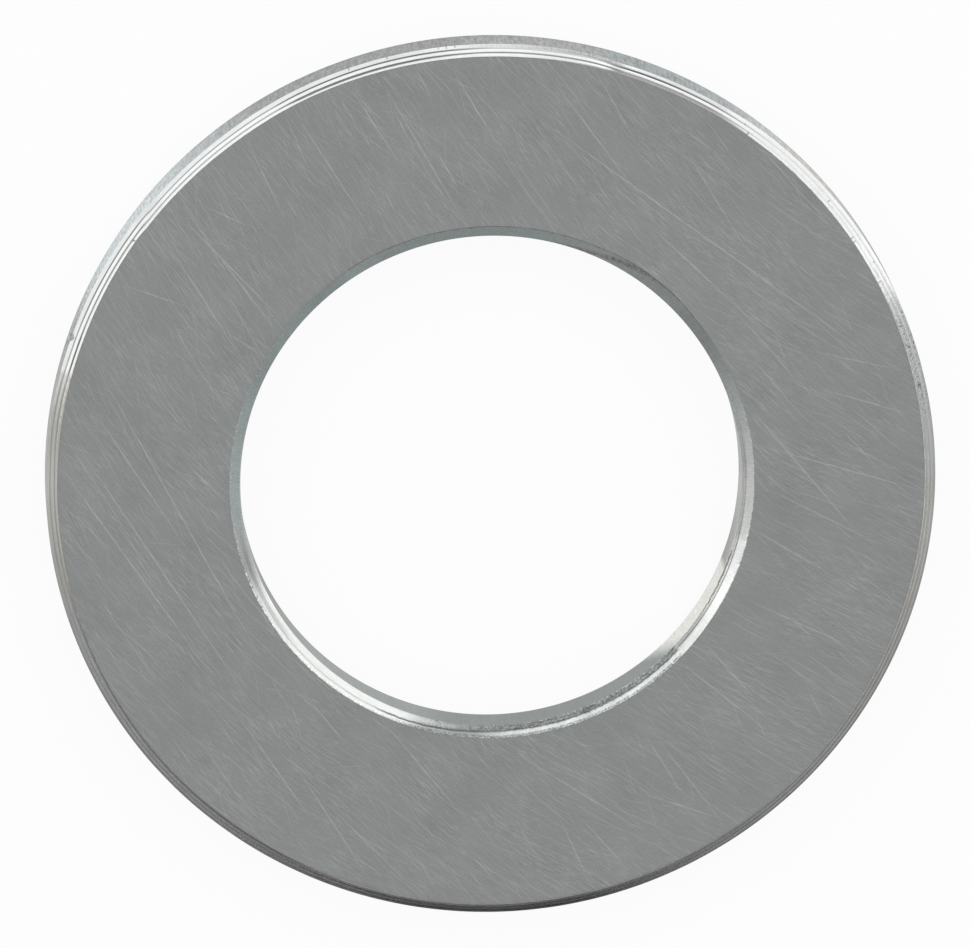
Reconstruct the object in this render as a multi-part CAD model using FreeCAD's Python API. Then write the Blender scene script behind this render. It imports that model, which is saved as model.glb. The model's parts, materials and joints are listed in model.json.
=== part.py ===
"""Flat washer: one ring of steel plate with a turned bevel on every edge.

The whole part is one half section turned about +Z. Millimetres, with +Z along the bore's axis. The
origin is on that axis, at the face that the washer rests on.
"""
import FreeCAD
import Part
import math
import os

# The ring
OUTER_DIAMETER = 55.6
BORE_DIAMETER = 31.35
THICKNESS = 4.0

# Upper outer bevel: three feed grooves of the turning tool run side by side down its slope
UPPER_OUTER_BEVEL_WIDTH = 0.70
UPPER_OUTER_BEVEL_DEPTH = 0.56
FEED_GROOVE_COUNT = 3
FEED_GROOVE_DEPTH = 0.028

# Upper bore bevel: plain, and a little flatter than the outer one
UPPER_BORE_BEVEL_WIDTH = 0.70
UPPER_BORE_BEVEL_DEPTH = 0.46

# Lower bevels: plain, on the face that the washer rests on
LOWER_OUTER_BEVEL_WIDTH = 0.70
LOWER_OUTER_BEVEL_DEPTH = 0.60
LOWER_BORE_BEVEL_WIDTH = 0.70
LOWER_BORE_BEVEL_DEPTH = 0.70


def at(radius, height):
    """A point of the half section, in the plane y = 0."""
    return FreeCAD.Vector(radius, 0, height)


def bore_side(bore_radius):
    """The section's inner side, from the lower face up to the upper one: bevel, wall, bevel."""
    lower_face_edge = at(bore_radius + LOWER_BORE_BEVEL_WIDTH, 0)
    wall_foot = at(bore_radius, LOWER_BORE_BEVEL_DEPTH)
    wall_head = at(bore_radius, THICKNESS - UPPER_BORE_BEVEL_DEPTH)
    upper_face_edge = at(bore_radius + UPPER_BORE_BEVEL_WIDTH, THICKNESS)
    return [
        Part.LineSegment(lower_face_edge, wall_foot),
        Part.LineSegment(wall_foot, wall_head),
        Part.LineSegment(wall_head, upper_face_edge),
    ]


def grooved_slope(top, foot):
    """The turned slope from top, at its inner edge, out and down to foot: equal shallow arcs,
    hollowed into the metal, that meet in sharp ridges on the straight line between the two."""
    groove_step = (foot - top) / FEED_GROOVE_COUNT
    slope_angle = math.atan2(foot.z - top.z, foot.x - top.x)
    into_metal = FreeCAD.Vector(math.sin(slope_angle), 0, -math.cos(slope_angle))
    grooves = []
    for index in range(FEED_GROOVE_COUNT):
        ridge = top + groove_step * index
        next_ridge = ridge + groove_step
        bottom = (ridge + next_ridge) / 2 + into_metal * FEED_GROOVE_DEPTH
        grooves.append(Part.Arc(ridge, bottom, next_ridge))
    return grooves


def outer_side(outer_radius):
    """The section's outer side, from the upper face down to the lower one: grooves, wall, bevel."""
    upper_face_edge = at(outer_radius - UPPER_OUTER_BEVEL_WIDTH, THICKNESS)
    wall_head = at(outer_radius, THICKNESS - UPPER_OUTER_BEVEL_DEPTH)
    wall_foot = at(outer_radius, LOWER_OUTER_BEVEL_DEPTH)
    lower_face_edge = at(outer_radius - LOWER_OUTER_BEVEL_WIDTH, 0)
    wall = Part.LineSegment(wall_head, wall_foot)
    lower_bevel = Part.LineSegment(wall_foot, lower_face_edge)
    return grooved_slope(upper_face_edge, wall_head) + [wall, lower_bevel]


def washer_solid():
    """The ring: both sides joined by the two flat faces, and turned through a full circle."""
    inner = bore_side(BORE_DIAMETER / 2)
    outer = outer_side(OUTER_DIAMETER / 2)
    upper_face = Part.LineSegment(inner[-1].EndPoint, outer[0].StartPoint)
    lower_face = Part.LineSegment(outer[-1].EndPoint, inner[0].StartPoint)
    outline = inner + [upper_face] + outer + [lower_face]
    section = Part.Face(Part.Wire([curve.toShape() for curve in outline]))
    return section.revolve(FreeCAD.Vector(0, 0, 0), FreeCAD.Vector(0, 0, 1), 360)


os.makedirs("parts", exist_ok=True)
washer = washer_solid()
washer.exportStep("parts/washer.step")
print("washer: valid", washer.isValid(), "solids", len(washer.Solids), "mm3", round(washer.Volume, 2))
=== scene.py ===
"""A flat steel washer lying on a pale studio floor, in metres, with +Z along the bore's axis."""
import json
import math

import bpy
from mathutils import Matrix, Vector


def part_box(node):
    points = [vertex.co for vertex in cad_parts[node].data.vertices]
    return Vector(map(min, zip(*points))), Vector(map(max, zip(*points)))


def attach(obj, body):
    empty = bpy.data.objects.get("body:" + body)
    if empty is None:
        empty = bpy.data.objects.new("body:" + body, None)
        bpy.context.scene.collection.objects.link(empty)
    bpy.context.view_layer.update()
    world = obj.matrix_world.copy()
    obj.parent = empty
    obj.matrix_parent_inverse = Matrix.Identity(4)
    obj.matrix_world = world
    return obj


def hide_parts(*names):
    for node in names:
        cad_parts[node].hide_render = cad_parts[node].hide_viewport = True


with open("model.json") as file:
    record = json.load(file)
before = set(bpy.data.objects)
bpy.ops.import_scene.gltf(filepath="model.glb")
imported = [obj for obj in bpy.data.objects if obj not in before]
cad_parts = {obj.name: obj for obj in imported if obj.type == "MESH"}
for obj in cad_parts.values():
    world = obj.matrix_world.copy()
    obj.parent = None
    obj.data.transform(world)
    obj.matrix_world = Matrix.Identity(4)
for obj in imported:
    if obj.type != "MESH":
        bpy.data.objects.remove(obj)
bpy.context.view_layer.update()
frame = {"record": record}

# ---------------------------------------------------------------------------------------------------
# The washer ring
# One ring cut from steel plate and turned: two flat faces scuffed by tumbling, a straight sheared
# outer wall, a straight bore and a bevel on each of the four edges. The upper outer bevel keeps the
# feed marks of its tool. A node tree turns the half section round and then wears the edges.

MM = 0.001
_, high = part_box("washer")
OUTER_RADIUS = high.x
THICKNESS = high.z
BORE = next(mount for mount in frame["record"]["mounts"] if mount["name"] == "bore")
BORE_RADIUS = BORE["dims"]["r_mm"] * MM

BEVEL_WIDTH = 0.70 * MM
UPPER_OUTER_BEVEL_DEPTH = 0.56 * MM
UPPER_BORE_BEVEL_DEPTH = 0.46 * MM
LOWER_OUTER_BEVEL_DEPTH = 0.60 * MM
LOWER_BORE_BEVEL_DEPTH = 0.70 * MM
GROOVE_COUNT = 3
GROOVE_DEPTH = 0.006 * MM
NOTCH_DEPTH = 0.016 * MM
STEPS_ROUND = 1800
CRISP_EDGE_DEGREES = 16

# One groove's share of the outer bevel's run, and the shares of a groove where its notch starts and
# is deepest. Then the shares of the bore bevel's run where its burrs and its bright band end.
PITCH = 1 / GROOVE_COUNT
NOTCH_START, NOTCH_MIDDLE = 0.78, 0.89
BURR_END, BRIGHT_END = 0.44, 0.74

# Degrees round the ring, clockwise from +X seen from above: where the turning tool was lifted, the
# nick at the outer bevel's foot, the two nicks of the face's edge, and where the bore's burrs start.
LIFT_START, LIFT_END = 285.0, 287.2
FOOT_NICK = 200.0
LEFT_EDGE_NICK, RIGHT_EDGE_NICK = 215.2, 305.8
BURRS_START = 43.0

# In millimetres: the heights between which wear sets in, as the lower edges stay plain, and the
# radius at which marks that follow the ring have the size they are given.
UNWORN_BELOW, WORN_ABOVE = 0.8, 1.2
TRUE_SIZE_RADIUS = 27.4

# Each stretch of the half section covers one unit of the attribute "place", in this order.
STRETCHES = (
    "lower_bore_bevel", "bore_wall", "upper_bore_bevel", "upper_face",
    "grooves", "outer_wall", "lower_outer_bevel", "lower_face",
)
BORE_BEVEL_START = STRETCHES.index("upper_bore_bevel")
GROOVES_START = STRETCHES.index("grooves")
OUTER_WALL_START = STRETCHES.index("outer_wall")

# Where the photograph sees the face, so that its long scratches lie where they do there.
PIXELS_WIDE, PIXELS_HIGH = 971, 948
PIXELS_PER_MM = 16.035
DISTANCE_IN_PIXELS = 12000
FACE_CENTRE_PIXEL = (491.84, 483.35)
elevation, turn = math.radians(76.73), math.radians(13.27)
level_reach = math.cos(elevation)
back = Vector((-math.sin(turn) * level_reach, math.cos(turn) * level_reach, math.sin(elevation)))
right = Vector((0, 1, 0)).cross(back).normalized()
up = back.cross(right)

# Half the width of a fine scratch and of a long one in millimetres, and half the length of a long
# one's oval as a share of its run. Each long one is the pixels where it starts and ends, and how
# bright it is.
STROKE_WIDTH, SCRATCH_WIDTH, SCRATCH_REACH = 0.036, 0.06, 0.6
LONG_SCRATCHES = (
    (530, 112, 878, 361, 1.0), (542, 66, 640, 196, 0.7), (669, 122, 753, 261, 0.6),
    (671, 121, 724, 158, 0.6), (650, 226, 722, 292, 0.9), (742, 398, 858, 534, 0.9),
    (757, 445, 920, 490, 0.9), (764, 487, 883, 546, 0.7), (759, 533, 822, 569, 1.0),
    (811, 351, 905, 371, 0.6), (818, 388, 912, 415, 0.7), (838, 425, 881, 472, 0.6),
    (680, 662, 763, 727, 1.1), (705, 644, 752, 695, 1.0), (645, 735, 684, 796, 0.8),
    (654, 734, 725, 826, 0.7), (520, 756, 648, 834, 0.7), (638, 792, 729, 821, 0.6),
    (581, 818, 626, 867, 0.7), (554, 806, 592, 888, 0.6), (748, 600, 864, 653, 0.7),
    (803, 679, 830, 733, 0.5), (388, 727, 462, 815, 0.9), (290, 757, 369, 879, 0.8),
    (232, 707, 316, 826, 0.8), (321, 798, 414, 889, 0.6), (295, 682, 357, 758, 0.6),
    (60, 466, 200, 659, 1.0), (65, 427, 257, 712, 0.9), (87, 349, 263, 662, 0.9),
    (86, 399, 195, 561, 0.7), (161, 233, 247, 367, 0.8), (121, 284, 190, 308, 0.7),
    (180, 216, 283, 321, 1.0), (209, 243, 277, 332, 0.9), (192, 469, 227, 503, 1.0),
    (248, 143, 285, 219, 0.7), (286, 117, 308, 168, 0.7), (295, 113, 363, 218, 0.9),
    (353, 91, 402, 168, 0.8), (381, 80, 461, 217, 0.9), (416, 71, 432, 98, 0.8),
    (454, 72, 495, 141, 0.9), (445, 119, 520, 198, 0.6), (435, 148, 459, 190, 0.8),
    (597, 73, 638, 146, 0.6), (201, 205, 253, 228, 0.6), (225, 331, 265, 358, 0.8),
)


def plug(tree, value, socket):
    """Links a wire or a socket to a node's input, or sets the input to a plain value."""
    if isinstance(value, Wire):
        value = value.socket
    if isinstance(value, bpy.types.NodeSocket):
        tree.links.new(value, socket)
    else:
        socket.default_value = value


class Wire:
    """A number flowing through a node tree. Each sum or product of wires adds one Math node."""

    def __init__(self, tree, socket):
        self.tree, self.socket = tree, socket

    def to(self, operation, *values):
        node = self.tree.nodes.new("ShaderNodeMath")
        node.operation = operation
        for socket, value in zip(node.inputs, (self, *values)):
            plug(self.tree, value, socket)
        return Wire(self.tree, node.outputs[0])

    def __add__(self, other):
        return self.to("ADD", other)

    def __sub__(self, other):
        return self.to("SUBTRACT", other)

    def __mul__(self, other):
        return self.to("MULTIPLY", other)

    def __truediv__(self, other):
        return self.to("DIVIDE", other)

    def __neg__(self):
        return self * -1

    def __abs__(self):
        return self.to("ABSOLUTE")

    __radd__ = __add__

    def __rsub__(self, other):
        return self * -1 + other

    def ease(self, low, high, start=0.0, end=1.0):
        """start at low, end at high, and a smooth step between them."""
        node = self.tree.nodes.new("ShaderNodeMapRange")
        node.interpolation_type = "SMOOTHSTEP"
        for index, item in enumerate((self, low, high, start, end)):
            plug(self.tree, item, node.inputs[index])
        return Wire(self.tree, node.outputs[0])

    def fade(self, low, high):
        """1 at low, 0 at high, and a smooth step between them."""
        return self.ease(low, high, 1.0, 0.0)

    def between(self, start, end, soft=0.5):
        """1 from start to end and 0 outside, with edges soft wide that are centred on each."""
        rise = self.ease(start - soft / 2, start + soft / 2)
        return rise * self.fade(end - soft / 2, end + soft / 2)


def fill(tree, node, **values):
    """Sets or links a node's inputs by name, with spaces written as underscores."""
    for name, value in values.items():
        plug(tree, value, node.inputs[name.replace("_", " ")])
    return node


def vector(tree, x, y, z=0.0):
    """A vector socket made of three wires or numbers."""
    return fill(tree, tree.nodes.new("ShaderNodeCombineXYZ"), X=x, Y=y, Z=z).outputs[0]


def parts(tree, socket):
    """The three wires of a vector or colour socket."""
    node = tree.nodes.new("ShaderNodeSeparateXYZ")
    tree.links.new(socket, node.inputs[0])
    return [Wire(tree, output) for output in node.outputs]


def scaled(tree, whole, factor):
    """A vector or a colour times a number or a wire, as a socket."""
    node = tree.nodes.new("ShaderNodeVectorMath")
    node.operation = "SCALE"
    plug(tree, whole, node.inputs[0])
    return fill(tree, node, Scale=factor).outputs[0]


def noise(tree, where, size, detail=2.0):
    """Smooth noise about -0.5 to 0.5 with bumps about size wide, as a wire."""
    near = scaled(tree, where, 1 / size)
    node = tree.nodes.new("ShaderNodeTexNoise")
    fill(tree, node, Vector=near, Scale=1.0, Detail=detail, Roughness=0.6)
    return (Wire(tree, node.outputs[0]) - 0.5) * 1.6


def place_in(tree):
    """The attribute "place" of a geometry tree, as a wire."""
    node = tree.nodes.new("GeometryNodeInputNamedAttribute")
    node.data_type = "FLOAT"
    return Wire(tree, fill(tree, node, Name="place").outputs["Attribute"])


class Round:
    """Where a point lies on the ring, in millimetres and degrees, as wires of one tree. The angle
    runs clockwise from +X seen from above, and place tells how far along the half section it is."""

    def __init__(self, tree, position, place=None):
        self.tree, self.place = tree, place
        self.x, self.y, self.z = parts(tree, position)
        self.radius = (self.x * self.x + self.y * self.y).to("SQRT")
        degrees = (-self.y).to("ARCTAN2", self.x).to("DEGREES")
        self.angle = degrees.to("WRAP", 360.0, 0.0)

    def along(self, across, stretch):
        """A seamless vector that follows the ring round, with across squeezed by stretch."""
        x = self.x / self.radius * TRUE_SIZE_RADIUS
        y = self.y / self.radius * TRUE_SIZE_RADIUS
        return vector(self.tree, x, y, across * (1 / stretch))


def lathe_tree(finishes):
    """The node tree that turns the half section and wears it. Its inputs are the ring's sizes."""
    tree = bpy.data.node_groups.new("turned_ring", "GeometryNodeTree")
    tree.interface.new_socket(name="Ring", in_out="OUTPUT", socket_type="NodeSocketGeometry")
    sizes = {
        "Outer radius": OUTER_RADIUS,
        "Bore radius": BORE_RADIUS,
        "Thickness": THICKNESS,
        "Bevel width": BEVEL_WIDTH,
        "Upper outer bevel depth": UPPER_OUTER_BEVEL_DEPTH,
        "Upper bore bevel depth": UPPER_BORE_BEVEL_DEPTH,
        "Lower outer bevel depth": LOWER_OUTER_BEVEL_DEPTH,
        "Lower bore bevel depth": LOWER_BORE_BEVEL_DEPTH,
        "Groove depth": GROOVE_DEPTH,
        "Notch depth": NOTCH_DEPTH,
        "Wear": 1.0,
    }
    for name in sizes:
        tree.interface.new_socket(name=name, in_out="INPUT", socket_type="NodeSocketFloat")
    tree.interface.new_socket(name="Steps round", in_out="INPUT", socket_type="NodeSocketInt")
    inputs = tree.nodes.new("NodeGroupInput").outputs
    given = {name: Wire(tree, inputs[name]) for name in sizes}

    outer, bore, top = given["Outer radius"], given["Bore radius"], given["Thickness"]
    width = given["Bevel width"]
    outer_edge, bore_edge = outer - width, bore + width
    outer_fall, bore_fall = given["Upper outer bevel depth"], given["Upper bore bevel depth"]

    def at(radius, height):
        """A point of the half section, from the bore's wall, which the circle follows. Down is +Y."""
        return vector(tree, radius - bore, height * -1)

    def marked(curve, first, last):
        """The curve with its share of the half section, first to last, kept in the attribute."""
        share = Wire(tree, tree.nodes.new("GeometryNodeSplineParameter").outputs["Factor"])
        kept = tree.nodes.new("GeometryNodeStoreNamedAttribute")
        kept.data_type, kept.domain = "FLOAT", "POINT"
        value = share * (last - first) + first
        return fill(tree, kept, Geometry=curve, Name="place", Value=value).outputs[0]

    def line(start, end, steps, first, last):
        """A straight run of the half section, cut into steps."""
        node = fill(tree, tree.nodes.new("GeometryNodeCurvePrimitiveLine"), Start=start, End=end)
        many = tree.nodes.new("GeometryNodeResampleCurve")
        return marked(fill(tree, many, Curve=node.outputs[0], Count=steps + 1).outputs[0], first, last)

    def on_outer_slope(share, depth=0.0):
        """The point of the outer slope at a share of its run, and depth into the metal."""
        slope = outer_fall.to("ARCTAN2", width)
        return at(outer_edge + width * share - slope.to("SINE") * depth,
                  top - outer_fall * share - slope.to("COSINE") * depth)

    def on_bore_slope(share):
        """The point of the bore's slope at a share of its run from the wall."""
        return at(bore + width * share, top - bore_fall * (1 - share))

    def groove(number):
        """One shallow arc of the outer slope and, but for the last, the notch at its foot, which the bevel's
        material darkens with painted shade.
        """
        start = number / GROOVE_COUNT
        last = number == GROOVE_COUNT - 1
        arc_end = start + PITCH if last else start + PITCH * NOTCH_START
        arc = tree.nodes.new("GeometryNodeCurveArc")
        arc.mode = "POINTS"
        points = 7 if last else 6
        fill(tree, arc, Resolution=points, Start=on_outer_slope(start), End=on_outer_slope(arc_end),
             Middle=on_outer_slope((start + arc_end) / 2, given["Groove depth"]))
        curves = [marked(arc.outputs[0], GROOVES_START + start, GROOVES_START + arc_end)]
        if not last:
            middle, end = start + PITCH * NOTCH_MIDDLE, start + PITCH
            bottom = on_outer_slope(middle, given["Notch depth"])
            curves.append(line(on_outer_slope(arc_end), bottom, 1,
                               GROOVES_START + arc_end, GROOVES_START + middle))
            curves.append(line(bottom, on_outer_slope(end), 1,
                               GROOVES_START + middle, GROOVES_START + end))
        return curves

    def straight(name, start, end, steps):
        """The one line of a stretch that has no bands."""
        first = STRETCHES.index(name)
        return [line(start, end, steps, first, first + 1)]

    def bore_bands():
        """The upper bore bevel in three bands: the burr at the wall, the bright turned band, the edge."""
        bands = ((0.0, BURR_END, 4), (BURR_END, BRIGHT_END, 2), (BRIGHT_END, 1.0, 4))
        return [
            line(on_bore_slope(start), on_bore_slope(end), steps,
                 BORE_BEVEL_START + start, BORE_BEVEL_START + end)
            for start, end, steps in bands
        ]

    lower_bore, lower_outer = given["Lower bore bevel depth"], given["Lower outer bevel depth"]
    face_inside, face_outside = at(bore_edge, top), at(outer_edge, top)
    base_inside, base_outside = at(bore_edge, top * 0), at(outer_edge, top * 0)
    profile = {
        "lower_bore_bevel": straight("lower_bore_bevel", base_inside, at(bore, lower_bore), 3),
        "bore_wall": straight("bore_wall", at(bore, lower_bore), on_bore_slope(0.0), 4),
        "upper_bore_bevel": bore_bands(),
        "upper_face": straight("upper_face", face_inside, face_outside, 2),
        "grooves": [curve for number in range(GROOVE_COUNT) for curve in groove(number)],
        "outer_wall": straight("outer_wall", on_outer_slope(1.0), at(outer, lower_outer), 5),
        "lower_outer_bevel": straight("lower_outer_bevel", at(outer, lower_outer), base_outside, 3),
        "lower_face": straight("lower_face", base_outside, base_inside, 1),
    }

    circle = tree.nodes.new("GeometryNodeCurvePrimitiveCircle")
    fill(tree, circle, Resolution=inputs["Steps round"], Radius=bore)
    upright = tree.nodes.new("GeometryNodeSetCurveNormal")
    upright.mode = "Z_UP"
    fill(tree, upright, Curve=circle.outputs[0])
    joined = tree.nodes.new("GeometryNodeJoinGeometry")
    for name in reversed(STRETCHES):
        for curve in reversed(profile[name]):
            turned = tree.nodes.new("GeometryNodeCurveToMesh")
            fill(tree, turned, Curve=upright.outputs[0], Profile_Curve=curve)
            finished = tree.nodes.new("GeometryNodeSetMaterial")
            fill(tree, finished, Geometry=turned.outputs[0], Material=finishes[name])
            tree.links.new(finished.outputs[0], joined.inputs[0])
    welded = tree.nodes.new("GeometryNodeMergeByDistance")
    fill(tree, welded, Geometry=joined.outputs[0], Distance=1e-6)

    worn = wear(tree, welded.outputs[0], given["Wear"])

    bend = Wire(tree, tree.nodes.new("GeometryNodeInputMeshEdgeAngle").outputs[0])
    crisp = bend.to("GREATER_THAN", math.radians(CRISP_EDGE_DEGREES))
    smooth = tree.nodes.new("GeometryNodeSetShadeSmooth")
    smooth.domain = "EDGE"
    fill(tree, smooth, Selection=crisp, Shade_Smooth=False)
    tree.links.new(worn, smooth.inputs[0])
    real = tree.nodes.new("GeometryNodeRealizeInstances")
    tree.links.new(smooth.outputs[0], real.inputs[0])
    place, first = place_in(tree), STRETCHES.index("upper_face")
    on_face = place.to("GREATER_THAN", first) * place.to("LESS_THAN", first + 1)
    finished = tree.nodes.new("GeometryNodeSetMaterial")
    fill(tree, finished, Geometry=real.outputs[0], Selection=on_face, Material=finishes["upper_face"])
    tree.links.new(finished.outputs[0], tree.nodes.new("NodeGroupOutput").inputs[0])
    return tree, sizes


def wear(tree, mesh, amount):
    """Moves the rings of the turned mesh: steps in the tool marks, ragged edges, burrs and nicks."""
    position = tree.nodes.new("GeometryNodeInputPosition").outputs[0]
    here = Round(tree, scaled(tree, position, 1 / MM), place_in(tree))
    angle = here.angle
    ring = here.along(here.place, 1.0)
    jitter = noise(tree, ring, 0.35, 3.0)
    slow = noise(tree, ring, 2.5, 1.0)

    # The outer slope: its bands step inwards where the tool was lifted, and its foot wanders.
    share = here.place - GROOVES_START
    on_slope = here.place.between(GROOVES_START, OUTER_WALL_START, 0.004)
    foot = share.ease(0.0, 1.0) * here.place.fade(OUTER_WALL_START, OUTER_WALL_START + 0.75)
    step_in = angle.ease(282.0, LIFT_END) * angle.fade(292.0, 312.0)
    bulge = (angle - share * 3.5).ease(216.0, 218.0) * angle.fade(232.0, 246.0)
    edge = here.place.ease(GROOVES_START - 0.02, GROOVES_START) * share.fade(0.0, 1.0)
    inwards = foot * (step_in * 0.11 + bulge * 0.07 + angle.between(243, 284, 14) * 0.015 + slow * 0.02)
    inwards = inwards + edge * (step_in * 0.02 + bulge * 0.06 + jitter * 0.016)
    lift = foot * here.place.fade(OUTER_WALL_START, OUTER_WALL_START + 0.2)
    lift = lift * (step_in * 0.09 + bulge * 0.05)

    # The notches are almost filled outside the stretch from 196 to 304 degrees, and small nicks
    # break the foot and the face's edge.
    notch = share.between(PITCH * 0.84, PITCH * 0.94, 0.01) + share.between(PITCH * 1.84, PITCH * 1.94, 0.01)
    shallow = 1 - angle.between(196.0, 304.0, 12.0) * 0.8
    lift = lift + notch * shallow * (NOTCH_DEPTH / MM * 1.2)
    nick = (abs(angle - FOOT_NICK) + share.ease(0.74, 1.0, 0.55, 0.0)).fade(0.2, 0.6)
    nick = nick * here.place.between(GROOVES_START + 0.7, OUTER_WALL_START + 0.25, 0.02)
    edge_nick = abs(angle - LEFT_EDGE_NICK).ease(0.0, 0.25, 0.7, 0.0)
    edge_nick = edge_nick + abs(angle - RIGHT_EDGE_NICK).ease(0.0, 0.25, 0.5, 0.0)
    edge_nick = edge_nick * share.between(-0.01, 0.2, 0.02)
    inwards = inwards + nick * 0.06 + edge_nick * 0.04
    inwards = inwards + on_slope * jitter * (0.003 - angle.between(50.0, 116.0, 20.0) * 0.0025)
    sunk = nick * 0.04 + edge_nick * 0.04

    # The bore bevel: burrs next to the wall, and a face edge that is torn in places.
    share = here.place - BORE_BEVEL_START
    torn = angle.between(BURRS_START, 112.0, 1.0) * 0.9 + angle.between(126.0, 176.0, 12.0) * 0.7 + 0.3
    torn = torn + angle.ease(12.0, 30.0, 0.5, 0.0) + angle.ease(334.0, 350.0, 0.0, 0.5)
    below_face = here.place.fade(BORE_BEVEL_START + 1, BORE_BEVEL_START + 1.02)
    wide_edge = angle.ease(18.0, 36.0, 0.09, 0.0) + angle.ease(338.0, 358.0, 0.0, 0.09)
    wide_edge = wide_edge + angle.between(296.0, 317.0, 8.0) * 0.09
    wide_edge = wide_edge - angle.between(206.0, 234.0, 12.0) * 0.08
    outwards = share.ease(0.80, 1.0) * torn * jitter * 0.085 + share.to("MAXIMUM", 0.0) * wide_edge
    outwards = outwards * below_face
    burred = angle.between(BURRS_START, 104.0, 2.0)
    burred = burred + angle.between(14.0, BURRS_START, 2.0) * share.fade(0.05, 0.2)
    burred = burred * share.between(0.02, BURR_END + 0.01, 0.03)
    rise = burred * (noise(tree, here.along(here.place * 0.7, 0.35), 0.22, 2.0) * 0.06 - 0.008)

    # No point is moved out beyond the outer radius.
    amount = amount * here.z.ease(UNWORN_BELOW, WORN_ABOVE)
    room = OUTER_RADIUS / MM - here.radius
    shift = ((outwards - inwards) * amount).to("MINIMUM", room) / here.radius
    height = (lift - sunk + rise) * amount
    moved = tree.nodes.new("GeometryNodeSetPosition")
    offset = vector(tree, here.x * shift * MM, here.y * shift * MM, height * MM)
    fill(tree, moved, Geometry=mesh, Offset=offset)
    return moved.outputs[0]


class Finish:
    """A bare steel material: its tree, its shader and the wires that say where a point lies."""

    def __init__(self, name):
        self.material = bpy.data.materials.new(name)
        self.material.use_nodes = True
        self.tree = self.material.node_tree
        self.shader = self.tree.nodes["Principled BSDF"]
        self.shader.inputs["Metallic"].default_value = 1
        metres = self.tree.nodes.new("ShaderNodeTexCoord").outputs["Object"]
        self.spot = scaled(self.tree, metres, 1 / MM)
        place = self.tree.nodes.new("ShaderNodeAttribute")
        place.attribute_name = "place"
        self.here = Round(self.tree, self.spot, Wire(self.tree, place.outputs["Fac"]))

    def noise(self, size, detail=2.0):
        """Noise that runs through the metal alike in all directions."""
        return noise(self.tree, self.spot, size, detail)

    def blend(self, share, first, second):
        """A colour between two, each a colour or a socket."""
        node = self.tree.nodes.new("ShaderNodeMix")
        node.data_type = "RGBA"
        plug(self.tree, share, node.inputs[0])
        for socket, colour in ((node.inputs[6], first), (node.inputs[7], second)):
            plug(self.tree, (*colour, 1) if isinstance(colour, tuple) else colour, socket)
        return node.outputs[2]

    def coat(self, colour, tone, roughness, height, depth):
        """Links colour times tone, the roughness, and a height in units of depth millimetres."""
        toned = scaled(self.tree, colour, tone)
        bump = self.tree.nodes.new("ShaderNodeBump")
        fill(self.tree, bump, Strength=1.0, Distance=depth * MM, Height=height)
        fill(self.tree, self.shader, Base_Color=toned, Roughness=roughness, Normal=bump.outputs[0])
        return self.material


def on_the_face(pixel_x, pixel_y):
    """The point of the upper face, in millimetres, that the photograph shows at a pixel."""
    distance = back * DISTANCE_IN_PIXELS
    seen = right * (pixel_x - FACE_CENTRE_PIXEL[0]) - up * (pixel_y - FACE_CENTRE_PIXEL[1])
    ray = seen - distance
    return (distance + ray * (-distance.z / ray.z)) / PIXELS_PER_MM


def long_scratches(finish, where):
    """The long scratches, each a thin oval that is brightest at its middle, as one wire."""
    tree, drawn = finish.tree, None
    for x0, y0, x1, y1, bright in LONG_SCRATCHES:
        start, end = on_the_face(x0, y0), on_the_face(x1, y1)
        run = end - start
        laid = tree.nodes.new("ShaderNodeMapping")
        laid.vector_type = "TEXTURE"
        fill(tree, laid, Vector=where, Location=(start + end) / 2, Rotation=(0, 0, math.atan2(run.y, run.x)),
             Scale=(run.length * SCRATCH_REACH, SCRATCH_WIDTH, 1))
        oval = tree.nodes.new("ShaderNodeTexGradient")
        oval.gradient_type = "SPHERICAL"
        plug(tree, laid.outputs[0], oval.inputs[0])
        mark = Wire(tree, oval.outputs["Fac"]) * bright
        drawn = mark if drawn is None else drawn.to("MAXIMUM", mark)
    return drawn


def strokes(finish, where, turn, length, spacing, share, seed):
    """Fine straight scratches: one in each cell of a lattice that is stretched along its length."""
    tree = finish.tree
    laid = tree.nodes.new("ShaderNodeMapping")
    laid.vector_type = "TEXTURE"
    fill(tree, laid, Vector=where, Location=(seed, seed * 1.37, 0), Rotation=(0, 0, math.radians(turn)),
         Scale=(length, spacing, 1))
    cell = tree.nodes.new("ShaderNodeTexVoronoi")
    cell.voronoi_dimensions = "2D"
    fill(tree, cell, Vector=laid.outputs[0], Scale=1.0)
    off = tree.nodes.new("ShaderNodeVectorMath")
    off.operation = "SUBTRACT"
    plug(tree, laid.outputs[0], off.inputs[0])
    plug(tree, cell.outputs["Position"], off.inputs[1])
    along, across, _ = parts(tree, off.outputs[0])
    lean, reach, lit = parts(tree, cell.outputs["Color"])
    line = abs(across - along * (lean - 0.5)).fade(0.0, STROKE_WIDTH / spacing)
    ends = abs(along).fade(0.1, reach * 0.25 + 0.2)
    return line * ends * lit.ease(1 - share, 1.0)


# Sets of fine scratches: how far each is turned from the lay in degrees, the length and spacing of
# its scratches in millimetres, the share of its cells that hold one, its seed and its brightness.
FINE_SCRATCHES = (
    (-7, 13, 1.1, 0.80, 3.1, 0.80), (6, 9, 0.75, 0.8, 7.7, 0.65), (1, 5, 0.40, 0.9, 11.3, 0.60),
    (-12, 4, 0.45, 0.8, 17.9, 0.55), (15, 4.5, 0.6, 0.7, 23.3, 0.50), (-32, 5, 1.3, 0.7, 29.1, 0.50),
    (34, 5, 1.8, 0.6, 31.7, 0.40),
)


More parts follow.
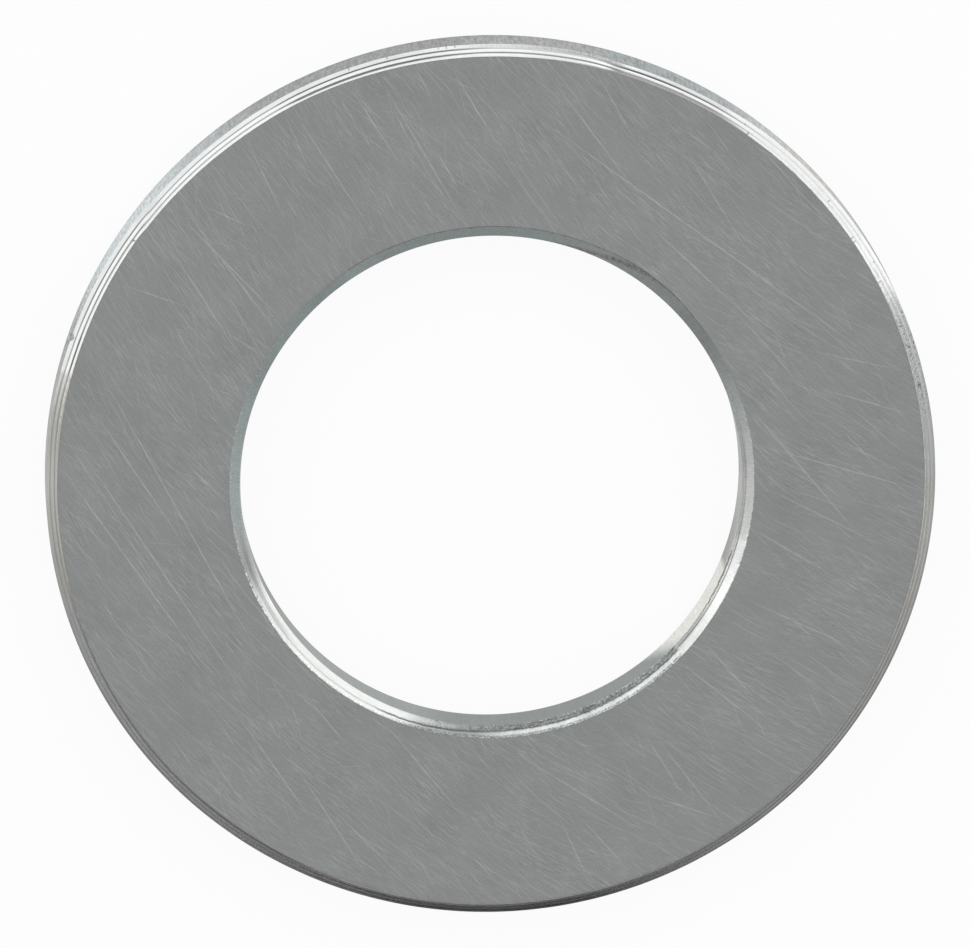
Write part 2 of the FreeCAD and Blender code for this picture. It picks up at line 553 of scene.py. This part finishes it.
def scuffed_face():
    """A tumbled flat face: mid grey, with a cloud of fine scratches that run mostly one way."""
    finish = Finish("tumbled_face")
    tree, here = finish.tree, finish.here
    lay = math.radians(-43.7)
    wander = finish.noise(11.0, 1.0)
    waver = finish.noise(1.4, 2.0)
    along = here.x * math.cos(lay) + here.y * math.sin(lay)
    across = here.y * math.cos(lay) - here.x * math.sin(lay) - along * along * 0.0031 + wander * 0.9
    across = across - along * here.x * 0.0024 + waver * 0.05
    laid = vector(tree, along, across)
    cloud = finish.noise(4.5, 2.0).ease(-0.2, 0.25, 0.2, 1.0)
    patches = noise(tree, vector(tree, along * 0.35, across, 4.0), 2.2, 1.0).ease(-0.2, 0.25, 0.1, 1.0)

    # The two finest sets come and go, and the long scratches are broken in places.
    marks = None
    for turned, length, spacing, share, seed, bright in FINE_SCRATCHES:
        layer = strokes(finish, laid, turned, length, spacing, share, seed) * bright
        marks = layer if marks is None else marks + layer
    marks = marks + strokes(finish, laid, -3, 1.6, 0.16, 0.9, 37.9) * patches * 0.75
    marks = marks + strokes(finish, laid, 9, 1.0, 0.13, 0.9, 41.3) * cloud * 0.65
    bent = vector(tree, here.x + waver * 0.08, here.y - waver * 0.08)
    broken = noise(tree, vector(tree, along, across * 3.0, 9.0), 0.5, 2.0).ease(-0.3, 0.15, 0.45, 1.0)
    marks = marks + long_scratches(finish, bent).ease(0.0, 0.55) * broken * 0.80

    # The metal between the scratches, and a dull brown line along both edges of the face.
    fine = finish.noise(0.08, 1.0)
    grain = finish.noise(0.25, 2.0)
    brushed = noise(tree, vector(tree, along * 0.10, across), 0.13, 2.0)
    combed = noise(tree, vector(tree, along * 0.12, across, 5.0), 0.35, 1.0)
    mottle = finish.noise(3.4, 2.0)
    tone = fine * 0.24 + grain * 0.08 + brushed * (patches * 0.18 + 0.05)
    tone = tone + combed * 0.04 + mottle * 0.13 + 1.032 + marks * 0.42
    rim = here.radius.ease(26.98, 27.12) + here.radius.fade(16.35, 16.5) * 0.5
    tone = tone * (1 - rim * 0.10)
    tint = noise(tree, vector(tree, along * 0.4, across, 2.0), 0.22, 2.0).ease(-0.35, 0.35)
    plain, cool, brown = (0.303, 0.303, 0.297), (0.292, 0.304, 0.305), (0.30, 0.285, 0.265)
    colour = finish.blend(rim * 0.5, finish.blend(tint, plain, cool), brown)
    roughness = 0.45 + grain * 0.04 - marks * 0.08
    return finish.coat(colour, tone, roughness, height=grain * 0.6 + fine * 0.4, depth=0.0008)


# Dark ticks on the outer bevel: degrees round the ring, and the shares of the bevel's run between
# which each lies.
TICKS = (
    (251.4, 0.82, 1.1), (256.5, 0.84, 1.1), (264.2, 0.8, 1.1), (265.3, 0.84, 1.1),
    (RIGHT_EDGE_NICK, -0.1, 0.3), (325.6, -0.1, 0.28), (326.2, -0.1, 0.25), (332.6, -0.1, 0.4),
    (319.9, 0.4, 0.62), (304.9, 0.62, 0.76), (330.0, 0.5, 0.68), (263.2, 0.86, 1.1),
)


def turned_bevel():
    """The upper outer bevel: bright turned bands, painted shade in the notches between them, and stains at
    the edges.
    """
    finish = Finish("turned_bevel")
    tree, here = finish.tree, finish.here
    angle = here.angle
    share = here.place - GROOVES_START
    speckle = noise(tree, here.along(share * 0.9, 0.6), 0.11, 2.0)
    streak = noise(tree, here.along(share * 0.9, 3.0), 0.10, 2.0)
    rings = noise(tree, here.along(share * 0.7, 0.03), 2.0, 2.0)
    slow = noise(tree, here.along(share, 2.0), 1.6, 2.0)
    ragged = share + noise(tree, here.along(share * 0.2, 1.0), 0.4, 3.0) * 0.05

    # Stretches of the ring where the cut changes, and the lines of painted shade in the notches between
    # bands.
    before_lift = angle.fade(LIFT_START, LIFT_END)
    lifted = angle.ease(285.4, 287.4) * angle.ease(290.0, 308.0, 1.0, 0.1) * angle.fade(308.0, 310.0)
    strong = angle.ease(242.0, 244.5) * angle.fade(256.0, 270.0)
    polished = angle.ease(195.0, 195.8)
    # Painted shade: the stretch from 180 to 195 degrees, up to the polished stretch, is painted darker.
    painted_stretch_shade = angle.ease(180.0, 190.0) * (1 - polished)
    # Painted shade: how dark the notch lines are painted at each angle round the ring.
    shade_and_stain = 0.08 + angle.ease(150.0, 175.0, 0.0, 0.30) + polished * 0.22 - angle.ease(298.0, 314.0, 0.0, 0.60)
    shade_and_stain = shade_and_stain + angle.between(195.4, 201.0, 2.0) * 0.24 - angle.between(217.5, 241.0, 2.0) * 0.26
    shade_and_stain = shade_and_stain + strong * 0.16 + lifted * 0.15 + slow * 0.15
    drift = angle.ease(243.0, 262.0, 0.0, 0.04) + angle.ease(264.0, 284.0, 0.0, 0.06)
    drifting = share - angle.between(185.0, 195.4, 8.0) * 0.09 - drift * before_lift
    first_line = drifting.between(PITCH * 0.58 - strong * 0.06, PITCH * 0.94, 0.07) * (1 - lifted * 0.4)
    second_line = drifting.between(PITCH * 1.70, PITCH * 2.06, 0.07)
    second_line = second_line.to("MAXIMUM", share.between(PITCH * 1.76, PITCH * 2.26, 0.06) * lifted)
    fainter = angle.between(268.0, 286.0, 6.0) * 0.7 + angle.between(195.0, 202.0, 3.0) * 0.5
    lines = first_line.to("MAXIMUM", second_line * (1 - fainter))
    dark = lines * shade_and_stain.to("MAXIMUM", 0.05)

    # The band beside the face is grey on both sides of the lift, and the foot is dull before it.
    grey_band = share.fade(PITCH * 0.64, PITCH * 0.78) * angle.ease(LIFT_START, LIFT_END)
    grey_band = grey_band * (angle + share * 18).fade(302.0, 310.0)
    grey_edge = (share - angle.ease(266.0, 287.0, -0.05, 0.11)).fade(-0.03, 0.03)
    grey_band = grey_band + grey_edge * angle.ease(266.0, 272.0) * before_lift
    dull_foot = ragged.ease(0.68, 0.80) * angle.between(267.0, 286.6, 5.0)
    dull_foot = dull_foot * angle.ease(270.0, 285.0, 1.0, 2.0)

    # Pits, then flecks and stains beside the face, then ticks and the nick at the foot.
    pits = noise(tree, here.along(share * 0.9, 0.8), 0.15, 1.0).ease(0.08, 0.24)
    pits = pits * angle.between(337.0, 351.0, 3.0)
    pits = pits * (share.between(0.2, 0.52, 0.1) + share.between(0.76, 0.95, 0.1))
    flecks = noise(tree, here.along(share * 0.9, 2.5), 0.13, 1.0).ease(0.15, 0.35)
    near_face = ragged.fade(0.10, 0.24)
    pale_edge = angle.fade(40.0, 60.0) + angle.ease(335.0, 342.0)
    brown_edge = angle.between(114.0, 165.0, 16.0)
    soft_brown = angle.between(40.0, 110.0, 20.0) * share.fade(0.2, 0.35)
    ticks = abs(angle - LEFT_EDGE_NICK).ease(0.03, 0.17, 0.5, 0.0) * share.fade(0.25, 0.35)
    for where, start, end in TICKS:
        ticks = ticks + abs(angle - where).fade(0.03, 0.14) * share.between(start, end, 0.06)
    nick = (abs(angle - FOOT_NICK) + share.ease(0.74, 1.0, 0.55, 0.0)).fade(0.3, 0.6)

    # The tone starts from the turned metal and takes in the stretches and marks one by one.
    calm = 1 - angle.between(52.0, 114.0, 20.0) * 0.8
    tone = 1 + (speckle * 0.12 + streak * 0.09) * calm + rings * 0.16 + slow * 0.08
    tone = tone - strong * 0.03 - painted_stretch_shade * 0.25
    tone = tone - angle.between(217.0, 221.5, 1.5) * 0.08 + angle.between(328.0, 353.0, 20.0) * 0.20
    # Painted shade: the stretch from 14 to 82 degrees, where the bevel mirrors the dark card, is painted
    # darker.
    tone = tone + angle.between(266.0, 286.3, 8.0) * 0.12 - angle.between(14.0, 82.0, 24.0) * 0.19
    tone = tone * (1 - dark) * (1 - grey_band * 0.48) * (1 - dull_foot * (0.22 - streak * 0.2))
    tone = tone * (1 - pits * 0.8) * (1 - ticks.to("MINIMUM", 1.0) * 0.5) * (1 - nick * 0.45)
    tone = tone * (1 - share.ease(0.66, 0.74) * angle.between(195.0, 262.0, 4.0) * 0.11)
    tone = tone * (1 - share.ease(0.58, 0.66) * angle.between(286.3, 302.0, 2.0) * 0.13)
    tone = tone * (1 - angle.between(285.4, 287.2, 1.6) * 0.22)
    # Painted light and shade from 74 to 104 degrees, where the bevel mirrors the dark card: the rougher band
    # beside the face and the band from 0.30 to 0.42 are painted lighter, the bands beyond them darker.
    low_right = angle.between(74.0, 104.0, 20.0)
    worn_edge_and_sheen = share.fade(0.13, 0.17) * angle.between(64.0, 116.0, 18.0)
    tone = tone * (1 + worn_edge_and_sheen * 0.12)
    tone = tone * (1 + share.between(0.30, 0.42, 0.06) * low_right * 0.36)
    darker = 1 - share.ease(0.42, 0.50) * low_right * 0.40
    tone = tone * (darker - share.between(0.16, 0.29, 0.06) * low_right * 0.15)
    tone = tone * (1 - share.between(0.43, 0.58, 0.06) * low_right * 0.14)
    tone = tone + flecks * near_face * pale_edge * 0.28 - near_face * brown_edge * 0.35
    tone = tone * (1 + speckle * (angle.between(336.0, 352.0, 4.0) * 0.7))
    warm = near_face * (brown_edge + 0.3) + soft_brown * 0.15 + angle.ease(20.0, 45.0, 0.35, 0.0)
    warm = warm + angle.between(165.0, 195.0, 8.0) * 0.45
    bright, stained = (0.65, 0.656, 0.652), (0.65, 0.62, 0.565)
    colour = finish.blend(warm.to("MINIMUM", 1.0), bright, stained)
    roughness = 0.17 + lines * 0.15 + pits * 0.2 + grey_band * 0.2 + worn_edge_and_sheen * 0.28
    height = (speckle * 0.5 + streak * 0.3) * calm + rings * 0.7 - pits
    return finish.coat(colour, tone, roughness, height, depth=0.0011)


def bore_bevel():
    """The upper bore bevel: burrs beside the wall, a bright turned band and a torn edge at the face."""
    finish = Finish("bore_bevel")
    tree, here = finish.tree, finish.here
    angle = here.angle
    share = here.place - BORE_BEVEL_START
    speckle = noise(tree, here.along(share * 0.8, 0.6), 0.17, 2.0)
    streak = noise(tree, here.along(share * 0.8, 2.4), 0.2, 2.0)
    rings = noise(tree, here.along(share * 0.7, 0.035), 1.6, 2.0)
    slow = noise(tree, here.along(share, 2.0), 2.4, 2.0)
    ragged = share + noise(tree, here.along(share * 0.3, 1.0), 0.45, 3.0) * 0.10
    curls = noise(tree, here.along(share * 0.8, 0.5), 0.5, 3.0)

    # The side with burrs, the cleanly turned side and the shaded side, whose cooler colour is a painted
    # reflection.
    torn_side = angle.ease(42.5, 43.5) * angle.fade(104.0, 118.0)
    turned_side = angle.ease(0.0, 15.0, 0.65, 1.0) * angle.fade(42.0, 44.0)
    turned_side = turned_side + angle.ease(338.0, 358.0, 0.0, 0.65)
    shaded = angle.between(170.0, 346.0, 30.0) * angle.ease(286.0, 300.0, 1.0, 0.6)

    # Where the burrs end, the dark line at their foot climbs across the bevel and fades.
    fading = angle.ease(84.0, 112.0)
    foot = ragged - fading * 0.14
    burr = ragged.fade(BURR_END, BURR_END + 0.06) * torn_side * (1 - fading)
    scrawl = abs(curls).fade(0.02, 0.14) * burr
    burr_foot = foot.between(BURR_END - 0.03, BURR_END + 0.11, 0.06) * angle.between(BURRS_START, 116.0, 6.0)
    feather = ragged.ease(BRIGHT_END, BRIGHT_END + 0.12) * torn_side
    beside_burrs = 0.12 + slow * 0.5 + share.between(0.56, 0.72, 0.08) * 0.06
    brushed = angle.between(BURRS_START, 90.0, 4.0) * beside_burrs
    past_burrs = share.ease(0.3, 0.5, 0.24, 0.50) - share.ease(0.7, 1.0) * 0.14
    brushed = brushed + angle.between(90.0, 108.0, 8.0) * past_burrs

    # The lines that the tool left on the turned side, and the shades and spots of the rest.
    double_line = share.between(0.16, 0.19, 0.02) * 0.5
    double_line = double_line + share.between(0.25, 0.31, 0.03) * angle.ease(0.0, 20.0, 0.45, 1.0)
    double_line = double_line * angle.ease(200.0, 210.0, 1.0, 0.55)
    smudge = share.between(0.12, angle.ease(28.0, 38.0, 0.37, 0.42), 0.08) * angle.ease(28.0, 38.0, 0.4, 0.6)
    double_line = (double_line + smudge) * turned_side
    thin_line = angle.between(17.0, 45.0, 2.0) * angle.ease(28.0, 36.0, 0.6, 0.25) + turned_side * 0.45
    thin_line = thin_line * ragged.between(0.02, 0.13, 0.05)
    torn_edge = ragged.ease(0.86, 1.0) * angle.between(106.0, 150.0, 12.0)
    faint_line = ragged.between(0.52, 0.66, 0.10) * angle.between(112.0, 146.0, 8.0)
    blue_shade = ragged.between(0.30, 0.66, 0.16) * angle.between(144.0, 166.0, 12.0)
    blue_shade = blue_shade + ragged.ease(0.68, 0.80) * angle.between(148.0, 166.0, 8.0) * 0.5
    flecks = noise(tree, here.along(share * 0.8, 1.2), 0.2, 1.0).ease(0.1, 0.3)
    flecks = flecks * ragged.ease(0.74, 0.86) * angle.between(92.0, 212.0, 16.0)
    dark_edge = angle.between(234.0, 325.0, 12.0) + angle.ease(26.0, 36.0, 1.2, 0.0)
    dark_edge = (dark_edge + angle.ease(346.0, 358.0, 0.0, 1.2)) * ragged.ease(0.90, 1.0)
    # A brown stain that crosses the bevel from 286 to 313 degrees.
    start = angle.ease(284.0, 313.0, 0.0, 1.0)
    shade_and_stain = abs(ragged - start).fade(0.02, 0.30) * angle.between(286.0, 313.0, 9.0)
    tan_spot = abs(angle - 229.9).fade(0.08, 0.22) * share.fade(0.25, 0.4)
    # Painted highlight: the bevel is painted lighter beside the wall from 150 to 190 degrees, and darker
    # there from 88 to 114 degrees.
    wall_edge = angle.between(150.0, 190.0, 16.0) - angle.between(88.0, 114.0, 10.0) * 0.55
    wall_edge = wall_edge * ragged.fade(0.0, 0.14)

    calm = 1 - angle.between(106.0, 166.0, 10.0) * 0.7
    tone = 1 + (speckle * 0.24 + streak * 0.20) * calm + rings * 0.18 + slow * 0.08
    # Painted reflection: the side from 214 to 340 degrees, which mirrors the tent's front, is painted
    # brighter.
    tone = tone + angle.between(216.0, 340.0, 40.0) * 0.20 + angle.between(214.0, 242.0, 16.0) * 0.16
    tone = tone - angle.between(104.0, 150.0, 10.0) * 0.09 - angle.between(298.0, 334.0, 12.0) * 0.22
    gleam = angle.ease(12.5, 14.5) * angle.ease(22.0, 40.0, 0.25, -0.14) * angle.fade(42.0, 44.0)
    tone = tone * (1 + gleam)
    tone = tone * (1 - burr * (0.50 + speckle * 0.5 + rings * 0.6 - share.ease(0.04, 0.14, 0.20, 0.0)))
    tone = tone * (1 - scrawl * 0.42)
    tone = tone * (1 - feather * (0.36 - speckle * 1.1)) * (1 - brushed) * (1 - thin_line * 0.68)
    tone = tone * (1 - burr_foot * (0.5 + fading * 0.2)) * (1 - double_line * 0.56) * (1 - faint_line * 0.24)
    tone = tone * (1 - blue_shade * 0.33) * (1 + flecks * 0.5)
    tone = tone * (1 - dark_edge * 0.45) * (1 - torn_edge * 0.3)
    tone = tone * (1 - shade_and_stain * (0.19 + speckle * 0.8 + curls))
    tone = tone * (1 + wall_edge * 0.32) * (1 + tan_spot * 0.7)
    warm = thin_line * 0.6 + shade_and_stain * 0.6 + dark_edge * 0.6 + tan_spot + scrawl * 0.3
    bright, cool, stained = (0.66, 0.665, 0.655), (0.60, 0.662, 0.662), (0.60, 0.54, 0.46)
    # The shaded side takes the cooler colour, a painted reflection.
    colour = finish.blend(shaded + torn_side * 0.4, bright, cool)
    colour = finish.blend(warm.to("MINIMUM", 1.0), colour, stained)
    roughness = 0.2 + burr * 0.25 + feather * 0.12
    height = (speckle * 0.6 + streak * 0.5) * calm + curls * burr * 2.0
    return finish.coat(colour, tone, roughness, height, depth=0.0024)


def sheared_wall():
    """The outer wall: dull steel with the short upright tears that shearing leaves, its greys darkened in
    part as painted shade.
    """
    finish = Finish("sheared_wall")
    tree, here = finish.tree, finish.here
    angle = here.angle
    streak = noise(tree, here.along(here.z, 6.0), 0.15, 3.0)
    wide = noise(tree, here.along(here.z, 5.0), 0.6, 2.0)
    speckle = noise(tree, here.along(here.z, 1.5), 0.12, 2.0)
    slow = noise(tree, here.along(here.z, 3.0), 5.0, 1.0)
    pale = angle.ease(198.0, 212.0) * angle.fade(217.0, 243.0)
    smoked = abs(angle - 199.0 - here.z * 0.5).fade(0.5, 4.0) * here.z.ease(1.5, 3.4)
    torn = streak * (1.3 + angle.between(196.0, 224.0, 8.0) * 1.2)
    tone = 1 + torn + wide * 0.50 + speckle * 0.35 + slow * 0.12 + pale * 1.3 - smoked * 0.35
    foot = here.z.fade(0.6, 1.6)
    tone = tone * (1 - foot * 0.15) * (1 + angle.between(268.0, 322.0, 10.0) * 0.16)
    tone = tone * (1 + angle.between(305.0, 327.0, 10.0) * 0.52 - angle.between(329.0, 345.0, 6.0) * 0.12)
    cool = pale * 0.5 + angle.between(285.0, 306.0, 6.0) * 0.6 + wide * 0.8 + 0.55
    cool = (cool - angle.between(158.0, 196.0, 8.0) - angle.between(312.0, 340.0, 8.0)).to("MAXIMUM", 0.0)
    # Partly painted shade: these greys are darker than the sheared steel, for the shadowed floor beside the
    # wall that it mirrors.
    warm_grey, cool_grey = (0.270, 0.268, 0.252), (0.247, 0.272, 0.279)
    colour = finish.blend(cool.to("MINIMUM", 1.0), warm_grey, cool_grey)
    return finish.coat(colour, tone, 0.36 + wide * 0.06, height=streak + speckle * 0.4, depth=0.008)


def bore_wall():
    """The bore's wall: a satin reamed surface with fine upright marks and one bright stretch, a painted
    reflection.
    """
    finish = Finish("bore_wall")
    tree, here = finish.tree, finish.here
    angle = here.angle
    streak = noise(tree, here.along(here.z, 5.0), 0.22, 3.0)
    speckle = noise(tree, here.along(here.z, 1.0), 0.25, 2.0)
    slow = noise(tree, here.along(here.z, 3.0), 4.0, 1.0)
    lean = angle + here.z * 2.0
    # Painted reflection: the stretch from about 21 to 50 degrees, leaning with height, is painted much
    # brighter.
    bright = angle.ease(20.2, 22.6) * lean.fade(46.0, 55.0)
    beige = angle.fade(20.2, 22.6) + angle.ease(345.0, 352.0)
    lighter = angle.between(103.0, 140.0, 12.0)
    dull = abs(angle - 157.0).fade(2.0, 12.0) * here.z.ease(2.4, 3.3, 1.0, 0.2)
    corner = angle.ease(1.0, 16.0) * here.z.ease(0.8, 3.8, 0.55, 0.1)
    corner = corner + angle.ease(0.5, 5.0) * angle.fade(13.0, 20.0) * here.z.ease(1.5, 3.4) * 0.14
    tone = 1 + streak * 0.35 + speckle * 0.25 + slow * 0.10
    tone = tone * (0.80 + bright * 2.2 + beige * (0.60 - corner) + lighter * 0.24 - dull * 0.38)
    yellow = bright + beige + angle.ease(118.0, 150.0, 0.0, 0.35)
    cool_grey, warm_grey = (0.226, 0.256, 0.255), (0.245, 0.247, 0.230)
    colour = finish.blend(yellow.to("MINIMUM", 1.0), cool_grey, warm_grey)
    return finish.coat(colour, tone, 0.34 + speckle * 0.06, height=streak + speckle * 0.5, depth=0.003)


def plain_bevel():
    """The lower bevels: turned smooth, with fine marks that follow the ring, in a grey darkened as painted
    shade.
    """
    finish = Finish("plain_bevel")
    tree, here = finish.tree, finish.here
    rings = noise(tree, vector(tree, here.radius, here.z), 0.05, 1.0)
    speckle = noise(tree, here.along(here.z, 1.0), 0.2, 2.0)
    tone = 1 + rings * 0.25 + speckle * 0.25
    # Painted shade: this grey is darker than the turned steel, for the contact shadow that the lower bevels
    # would mirror.
    grey = (0.33, 0.333, 0.33)
    return finish.coat(grey, tone, 0.30 + speckle * 0.08, height=rings + speckle * 0.4, depth=0.002)


face_steel, wall_steel, lower_steel = scuffed_face(), sheared_wall(), plain_bevel()
tree, sizes = lathe_tree({
    "lower_bore_bevel": lower_steel, "bore_wall": bore_wall(), "upper_bore_bevel": bore_bevel(),
    "upper_face": face_steel, "grooves": turned_bevel(), "outer_wall": wall_steel,
    "lower_outer_bevel": lower_steel, "lower_face": face_steel,
})
blank = bpy.data.objects.new("ring_blank", bpy.data.meshes.new("ring_blank"))
bpy.context.scene.collection.objects.link(blank)
turning = blank.modifiers.new("turned_ring", "NODES")
turning.node_group = tree
sockets = {item.name: item.identifier for item in tree.interface.items_tree if item.in_out == "INPUT"}
for name, value in sizes.items():
    turning[sockets[name]] = value
turning[sockets["Steps round"]] = STEPS_ROUND
depsgraph = bpy.context.evaluated_depsgraph_get()
ring_mesh = bpy.data.meshes.new_from_object(blank.evaluated_get(depsgraph), depsgraph=depsgraph)
blank.modifiers.remove(turning)
bpy.data.objects.remove(blank)
ring = bpy.data.objects.new("washer_ring", ring_mesh)
bpy.context.scene.collection.objects.link(ring)
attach(ring, "root")
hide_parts("washer")

# ---------------------------------------------------------------------------------------------------
# The studio
# A white floor, a grey tent that is dark in front and white below the floor's far end, two large soft
# boxes behind the washer and a dark card on the floor in front of it, which only reflections show.
# The camera stands where the photograph was taken from.

HALF_A_FLOOR = 30.0
PAPER, GLOW_SHARE = (0.85, 0.85, 0.85, 1), 0.93
floor_mesh = bpy.data.meshes.new("floor")
corners = [Vector((x, y, 0)) * HALF_A_FLOOR for x, y in ((-1, -1), (1, -1), (1, 1), (-1, 1))]
floor_mesh.from_pydata(corners, [], [(0, 1, 2, 3)])
floor = bpy.data.objects.new("floor", floor_mesh)
bpy.context.scene.collection.objects.link(floor)

# The floor glows evenly for the camera and for rays that are reflected or pass through something,
# and is plain paper for the rest.
paper = bpy.data.materials.new("white_paper")
paper.use_nodes = True
nodes, links = paper.node_tree.nodes, paper.node_tree.links
nodes.clear()
output = nodes.new("ShaderNodeOutputMaterial")
blend = nodes.new("ShaderNodeMixShader")
diffuse = nodes.new("ShaderNodeBsdfDiffuse")
diffuse.inputs["Color"].default_value = PAPER
glow = nodes.new("ShaderNodeEmission")
rays = nodes.new("ShaderNodeLightPath").outputs
seen = Wire(paper.node_tree, rays["Is Camera Ray"]).to("MAXIMUM", rays["Is Glossy Ray"])
seen = seen.to("MAXIMUM", rays["Is Transmission Ray"]) * GLOW_SHARE
links.new(seen.socket, blend.inputs[0])
links.new(diffuse.outputs[0], blend.inputs[1])
links.new(glow.outputs[0], blend.inputs[2])
links.new(blend.outputs[0], output.inputs[0])
floor_mesh.materials.append(paper)

# How bright the tent is: its sides and how much less on the right, its front and how much less low
# down, its top, and what lies below the horizon. Forward is towards the camera.
SIDES, RIGHT_LESS, FRONT, LOW_LESS, TOP, BELOW = 0.80, 0.30, 0.30, 0.22, 0.85, 0.98
world = bpy.data.worlds.new("tent")
bpy.context.scene.world = world
world.use_nodes = True
sky = world.node_tree
background = sky.nodes["Background"]
x, y, z = parts(sky, sky.nodes.new("ShaderNodeTexCoord").outputs["Generated"])
level = (x * x + y * y).to("SQRT") + 0.0001
forward, aside = -y / level, x / level
right_side = aside.ease(-0.3, 0.3)
front = forward.ease(right_side * 0.25, right_side * 0.1 + 0.75)
side = SIDES - right_side * RIGHT_LESS
low_front = forward.ease(0.55, 0.95) * z.fade(0.02, 0.16)
strength = side + front * (FRONT - side) - low_front * LOW_LESS
strength = strength + z.ease(0.35, 0.78) * (TOP - strength)
strength = strength + z.fade(-0.01, 0.0) * (BELOW - strength)
plug(sky, strength, background.inputs["Strength"])
background.inputs["Color"].default_value = (0.985, 1.0, 1.0, 1)

SOFT_BOX_DISTANCE = 0.6


def soft_box(name, azimuth, elevation, width, tall, radiance):
    """A rectangular lamp that faces the washer from a direction in degrees."""
    data = bpy.data.lights.new(name, "AREA")
    data.shape = "RECTANGLE"
    data.size, data.size_y = width, tall
    data.energy = radiance * math.pi * width * tall
    box = bpy.data.objects.new(name, data)
    azimuth, elevation = math.radians(azimuth), math.radians(elevation)
    reach = math.cos(elevation)
    out = Vector((math.cos(azimuth) * reach, math.sin(azimuth) * reach, math.sin(elevation)))
    box.location = out * SOFT_BOX_DISTANCE
    box.rotation_mode = "QUATERNION"
    box.rotation_quaternion = out.to_track_quat("Z", "Y")
    box.visible_camera = False
    bpy.context.scene.collection.objects.link(box)


soft_box("left_soft_box", 124, 28, 1.56, 0.45, 0.66)
soft_box("right_soft_box", 38.5, 28, 0.58, 0.45, 0.90)

# The dark card is a sector of a ring that starts a little outside the washer's rim, and its ends are
# in degrees, clockwise from +X seen from above. It covers most at 82 to 100 degrees.
CARD_INSIDE, CARD_OUTSIDE, CARD_HEIGHT = 38 * MM, 300 * MM, 0.4 * MM
CARD_FIRST, CARD_LAST, CARD_STEPS = 2, 166, 41
card_points = []
for step in range(CARD_STEPS + 1):
    angle = math.radians(CARD_FIRST + (CARD_LAST - CARD_FIRST) * step / CARD_STEPS)
    for radius in (CARD_INSIDE, CARD_OUTSIDE):
        card_points.append((radius * math.cos(angle), -radius * math.sin(angle), CARD_HEIGHT))
card_faces = [(2 * n, 2 * n + 2, 2 * n + 3, 2 * n + 1) for n in range(CARD_STEPS)]
card_mesh = bpy.data.meshes.new("dark_card")
card_mesh.from_pydata(card_points, [], card_faces)
card = bpy.data.objects.new("dark_card", card_mesh)
card_paper = bpy.data.materials.new("dark_card")
card_paper.use_nodes = True
nodes = card_paper.node_tree.nodes
nodes.clear()
where = Round(card_paper.node_tree, nodes.new("ShaderNodeTexCoord").outputs["Object"])
dark = nodes.new("ShaderNodeBsdfDiffuse")
dark.inputs["Color"].default_value = (0.03, 0.03, 0.03, 1)
cover = (where.angle * 0.0105).to("MINIMUM", 0.6) + where.angle.ease(52.0, 82.0, 0.0, 0.37)
cover = cover * where.angle.fade(100.0, 164.0)
shade = nodes.new("ShaderNodeMixShader")
plug(card_paper.node_tree, cover, shade.inputs[0])
plug(card_paper.node_tree, nodes.new("ShaderNodeBsdfTransparent").outputs[0], shade.inputs[1])
plug(card_paper.node_tree, dark.outputs[0], shade.inputs[2])
plug(card_paper.node_tree, shade.outputs[0], nodes.new("ShaderNodeOutputMaterial").inputs[0])
card_mesh.materials.append(card_paper)
bpy.context.scene.collection.objects.link(card)
card.visible_camera = False
card.visible_diffuse = False
card.visible_shadow = False

lens = bpy.data.cameras.new("camera")
lens.sensor_width = 36
lens.lens = lens.sensor_width * DISTANCE_IN_PIXELS / PIXELS_WIDE
lens.clip_start, lens.clip_end = 0.01, 100
camera = bpy.data.objects.new("camera", lens)
bpy.context.scene.collection.objects.link(camera)
pixel = MM / PIXELS_PER_MM
aim = Vector((0, 0, THICKNESS))
aim -= right * (FACE_CENTRE_PIXEL[0] - PIXELS_WIDE / 2) * pixel
aim += up * (FACE_CENTRE_PIXEL[1] - PIXELS_HIGH / 2) * pixel
place = aim + back * DISTANCE_IN_PIXELS * pixel
camera.matrix_world = Matrix.Translation(place) @ Matrix((right, up, back)).transposed().to_4x4()
bpy.context.scene.camera = camera
bpy.context.scene.view_settings.view_transform = "Standard"
